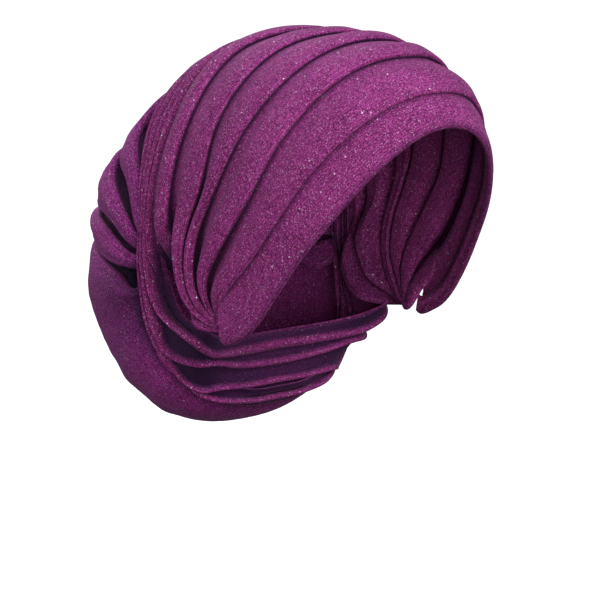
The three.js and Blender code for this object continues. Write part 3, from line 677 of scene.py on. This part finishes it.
# the panel under the last hollow lies in the bundle's shade
EDGE = 1.55 * (edges_up[-1] - PHI) * np.cos(np.radians(TH))           # about how many mm to the bundle's rear edge
SHADE = 0.12 * step(96, 112, PHI) + 0.34 * step(96, 118, PHI) * step(38, 68, np.abs(TH)) + 0.42 * (1 - step(3, 30, EDGE)) * step(34, 54, np.abs(TH)) * (1 - step(76, 86, np.abs(TH)))
P0 = on_bag(np.clip(PHI, 1, 201), TH)
ref_phi = np.linspace(0, 1, 90)[:, None] * (PB[-1] + 3 - (PB[0] - 6)) + PB[0] - 6
ref = on_bag(np.minimum(ref_phi, 201), np.broadcast_to(th, ref_phi.shape))
nref = smooth_rows(grid_normals(ref), 5)
if nref[45, ND // 2, 1] < 0:
    nref = -nref
fi = np.clip((PHI - (PB[0] - 6)) / (PB[-1] - PB[0] + 9) * 89, 0, 88.999)
i0 = fi.astype(int); fr = (fi - i0)[..., None]
jj = np.broadcast_to(np.arange(ND), i0.shape)
nbg = unit(nref[i0, jj] * (1 - fr) + nref[i0 + 1, jj] * fr)
P = P0 + nbg * NN[..., None]
# painted shade: where the cloth lies deep below the surface, under the lips and round the rolled edges, and in the
# bundle's shade
bag = make("slouch_bag_cloth", P, np.stack([UU, TH * 2.3], -1), mat=mat_bag_cool_lit, thick=0.7, painted_shade=np.clip(np.maximum(step(0.3, -6.0, NN), np.array(lip_shade)) + SHADE, 0, 1))

# ------------------------------------------------------------------ riding on the root, hiding the CAD parts, and the sheet areas
for piece, node, slot_ in ((band, "front_band", "band_cloth"), (crown, "pleated_crown", "crown_cloth"),
                           (bundle, "gathered_bundle", "bundle_cloth"), (bag, "slouch_bag", "bag_cloth")):
    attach(piece, "root")
    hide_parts(node)


def sheet_area(o):
    dg = bpy.context.evaluated_depsgraph_get()
    me = o.evaluated_get(dg).to_mesh()
    a = sum(p.area for p in me.polygons)
    o.evaluated_get(dg).to_mesh_clear()
    return a


AREAS = {o.name: sheet_area(o) / 2 for o in (band, crown, bundle, bag)}
print("areas", {k: round(v, 5) for k, v in AREAS.items()})

# ------------------------------------------------------------------ stage and light
def stage_mesh():
    floor, flat_r, wall_r, n = -0.42, 2.4, 3.4, 14
    prof = [(0.02, floor), (0.8, floor), (1.6, floor), (flat_r, floor)]
    prof += [(flat_r + (wall_r - flat_r) * math.sin(x), floor + 1.0 - math.cos(x)) for x in np.linspace(0.08, math.pi / 2, n)] + [(wall_r, 3.6)]
    ring = 72
    verts = [(r_ * math.cos(2 * math.pi * i / ring), r_ * math.sin(2 * math.pi * i / ring), z) for r_, z in prof for i in range(ring)]
    faces = [(k * ring + i, k * ring + (i + 1) % ring, (k + 1) * ring + (i + 1) % ring, (k + 1) * ring + i) for k in range(len(prof) - 1) for i in range(ring)]
    faces.append(tuple(range(ring - 1, -1, -1)))
    me = bpy.data.meshes.new("backdrop"); me.from_pydata(verts, [], faces); me.update()
    for p in me.polygons:
        p.use_smooth = True
    o = bpy.data.objects.new("backdrop", me); scene.collection.objects.link(o)
    mt = bpy.data.materials.new("backdrop_paper"); mt.use_nodes = True
    b = mt.node_tree.nodes["Principled BSDF"]
    b.inputs["Base Color"].default_value = (0.86, 0.86, 0.86, 1); b.inputs["Roughness"].default_value = 0.9
    b.inputs["Emission Color"].default_value = (1, 1, 1, 1); b.inputs["Emission Strength"].default_value = 0.72
    me.materials.append(mt)
    return o


backdrop = stage_mesh()
backdrop.visible_diffuse = backdrop.visible_glossy = backdrop.visible_shadow = False
backdrop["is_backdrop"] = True


def area(name, loc, aim, size, power, color=(1, 1, 1)):
    l = bpy.data.lights.new(name, "AREA"); l.shape, l.size, l.energy, l.color = "DISK", size, power, color
    o = bpy.data.objects.new(name, l)
    o.location = loc
    o.rotation_euler = (Vector(aim) - Vector(loc)).to_track_quat("-Z", "Y").to_euler()
    o.visible_camera = False
    scene.collection.objects.link(o)


def place(rx, fz, h):
    """A point by how far it is to the right of the camera's line, in front of the object and up."""
    f = back.copy(); f.z = 0; f.normalize()
    return right * rx + f * fz + Vector((0, 0, h))


area("key", place(0.95, 1.05, 1.05), (0, 0.02, 0.03), 0.8, 16.2, (0.96, 1.0, 1.0))
area("fill", place(0.25, 1.6, 0.1), (0, 0.03, -0.02), 1.0, 13, (1.0, 0.88, 0.86))
area("side", place(-1.4, 0.5, 0.5), (0, 0.05, 0.0), 1.0, 5)
area("rear", place(-0.7, -1.3, 0.9), (0, 0.08, 0.0), 1.0, 6)
area("top", place(0.1, 0.1, 1.6), (0, 0.03, 0.0), 1.0, 6.3)
w_ = bpy.data.worlds.new("studio"); scene.world = w_; w_.use_nodes = True
wn, wl = w_.node_tree.nodes, w_.node_tree.links
wc, wsep, wr = wn.new("ShaderNodeTexCoord"), wn.new("ShaderNodeSeparateXYZ"), wn.new("ShaderNodeMapRange")
wl.new(wc.outputs["Generated"], wsep.inputs[0]); wl.new(wsep.outputs[2], wr.inputs[0])
wr.inputs[1].default_value, wr.inputs[2].default_value, wr.inputs[3].default_value, wr.inputs[4].default_value = -0.6, 0.8, 0.05, 0.48
wl.new(wr.outputs[0], wn["Background"].inputs[1])
wn["Background"].inputs[0].default_value = (0.97, 0.98, 1, 1)
scene.view_settings.view_transform = "Standard"

vis_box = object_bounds()
flat_ = lambda b: [[float(x) for x in v] for v in b]
{"cad": flat_(cad_box), "visual": flat_(vis_box)}
